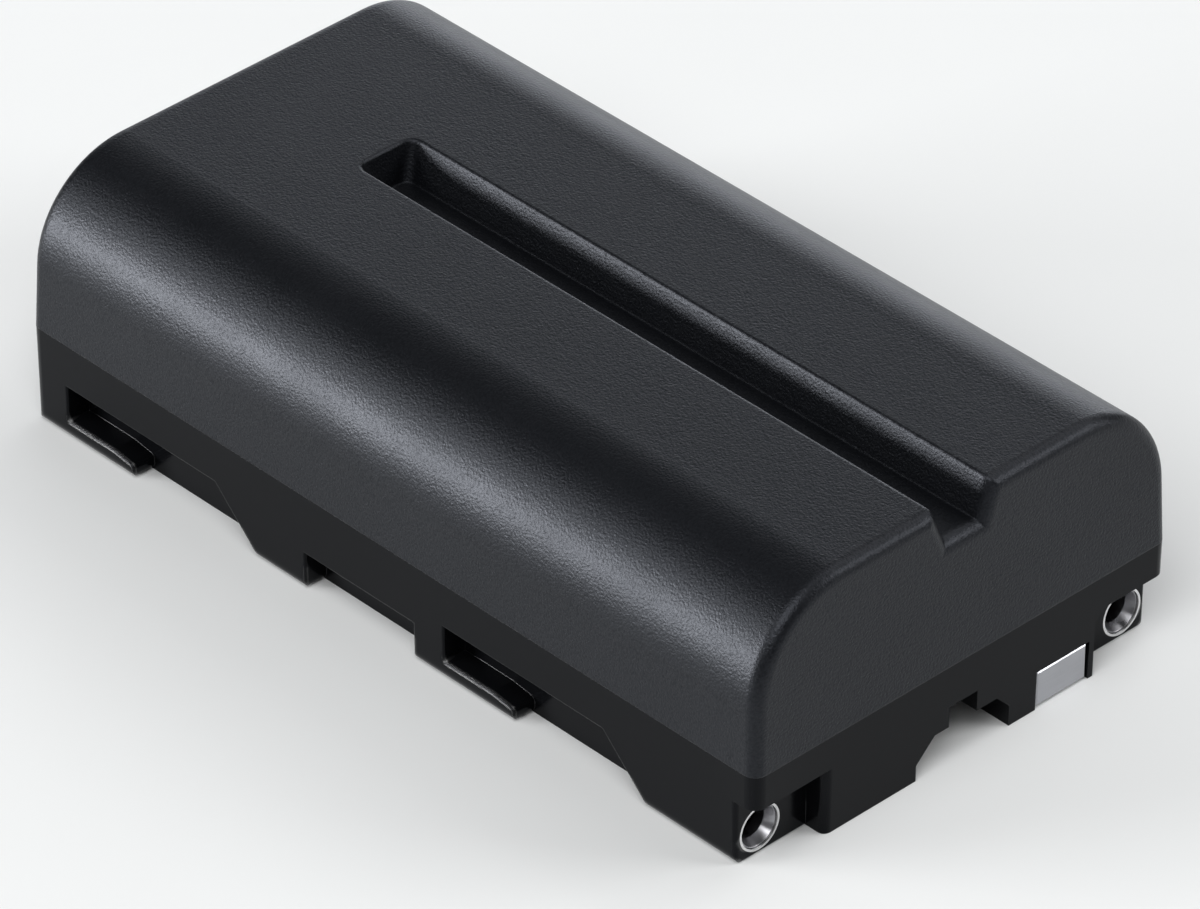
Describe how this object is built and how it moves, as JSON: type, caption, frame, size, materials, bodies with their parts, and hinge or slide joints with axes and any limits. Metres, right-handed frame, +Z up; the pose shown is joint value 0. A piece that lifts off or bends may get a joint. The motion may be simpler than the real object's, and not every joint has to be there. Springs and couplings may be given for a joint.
{
  "type": "camera battery",
  "caption": "Rechargeable camcorder battery pack with hook rails, round end sockets and a finger channel.",
  "frame": {"origin": "middle of the underside", "axes": "+X towards the terminal end, +Y across the pack, +Z up to the grooved cover"},
  "size_m": [0.0708, 0.0384, 0.0206],
  "materials": {
    "grained_plastic": "fine leather grain, charcoal",
    "smooth_plastic": "smooth satin black",
    "nickel": "bright nickel plate",
    "contact_spring": "nickel-plated spring bronze",
    "plate_nickel": "flat nickel plate",
    "can_steel": "nickel-plated drawn steel",
    "gasket_plastic": "natural plastic",
    "washer_paper": "insulating paper",
    "wrap_film": "shrink film",
    "strip_nickel": "nickel strip",
    "pad_foam": "closed foam",
    "wire_sleeve": "wire insulation",
    "sheet_fibre": "fish paper",
    "board_laminate": "solder mask on laminate",
    "chip_body": "moulded epoxy",
    "capacitor_body": "sintered ceramic",
    "resistor_body": "glazed ceramic",
    "fuse_body": "white ceramic",
    "thermistor_bead": "epoxy coated bead"
  },
  "bodies": {
    "root": {"upper_case": "grained_plastic", "lower_case": "smooth_plastic", "terminal_socket_positive": "nickel", "terminal_socket_negative": "nickel", "contact_basket_positive": "contact_spring", "contact_basket_negative": "contact_spring", "terminal_tab_positive": "strip_nickel", "terminal_tab_negative": "strip_nickel", "data_contact": "plate_nickel", "cell_can_left": "can_steel", "cell_can_right": "can_steel", "cell_gasket_left": "gasket_plastic", "cell_gasket_right": "gasket_plastic", "cell_cap_left": "can_steel", "cell_cap_right": "can_steel", "cell_washer_left": "washer_paper", "cell_washer_right": "washer_paper", "cell_wrap_left": "wrap_film", "cell_wrap_right": "wrap_film", "series_strip": "strip_nickel", "far_end_pad": "pad_foam", "positive_strip": "strip_nickel", "negative_strip": "strip_nickel", "sense_wire": "wire_sleeve", "insulating_sheet": "sheet_fibre", "circuit_board": "board_laminate", "protection_ic": "chip_body", "mosfet_pair": "chip_body", "sense_resistor": "resistor_body", "chip_capacitors": "capacitor_body", "chip_resistors": "resistor_body", "fuse": "fuse_body", "thermistor": "thermistor_bead"}
  },
  "joints": []
}
